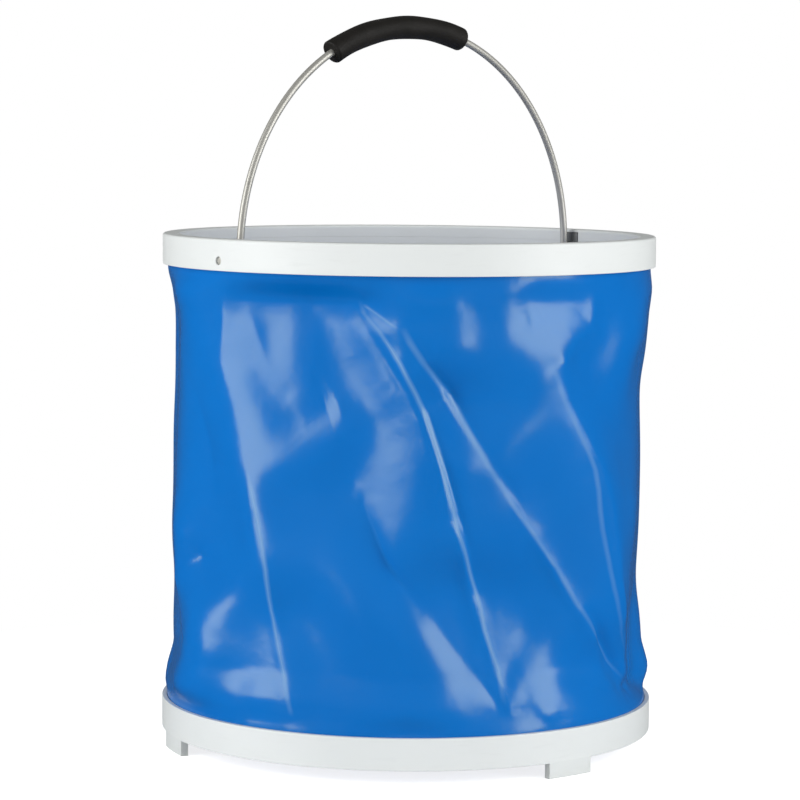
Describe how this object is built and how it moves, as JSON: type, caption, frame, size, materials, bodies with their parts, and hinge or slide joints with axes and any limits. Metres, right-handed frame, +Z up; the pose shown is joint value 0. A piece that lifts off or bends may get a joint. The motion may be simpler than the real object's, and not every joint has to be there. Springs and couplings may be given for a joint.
{
  "type": "collapsible bucket",
  "caption": "Round camp bucket that folds flat: blue PVC wall clamped between white plastic rim and base rings, small feet, swinging wire bail with a foam grip.",
  "frame": {"origin": "on the ground under the bucket's centre: the feet's bottom faces are at z = 0 and the rings are centred on the Z axis", "axes": "+Z up; the picture's camera looks along +Y, with +X to its right; the bail's hinge axis lies at 42.4 degrees from +X towards +Y"},
  "size_m": [0.26, 0.26, 0.3838],
  "materials": {
    "ring_plastic": "satin",
    "pvc_sheet": "satin",
    "hem_cord": "matte",
    "clip_plastic": "satin",
    "bail_wire": "satin",
    "grip_foam": "matte"
  },
  "bodies": {
    "base": {"base_outer_ring": "ring_plastic", "base_clamp_ring": "ring_plastic", "base_hem_cord": "hem_cord", "floor_sheet": "pvc_sheet"},
    "wall": {"wall_sleeve": "pvc_sheet"},
    "rim": {"rim_outer_ring": "ring_plastic", "rim_clamp_ring": "ring_plastic", "rim_hem_cord": "hem_cord", "bail_clip_left": "clip_plastic", "bail_clip_right": "clip_plastic"},
    "bail": {"bail_wire": "bail_wire", "bail_grip": "grip_foam"}
  },
  "joints": [
    {"name": "rim_twist", "type": "hinge", "parent": "base", "child": "wall", "pos_m": [0, 0, 0.0244], "axis": [0, 0, -1], "range_deg": [0, 90]},
    {"name": "rim_collapse", "type": "slide", "parent": "wall", "child": "rim", "axis": [0, 0, -1], "range_m": [0, 0.217], "deforming": ["wall_sleeve"]},
    {"name": "bail_swing", "type": "hinge", "parent": "rim", "child": "bail", "pos_m": [0, 0, 0.2584], "axis": [0.7385, 0.6743, 0], "range_deg": [-80, 80]}
  ],
  "couplings": [
    {"joint": "rim_twist", "follows": "rim_collapse", "rad_per_m": 7.2}
  ]
}
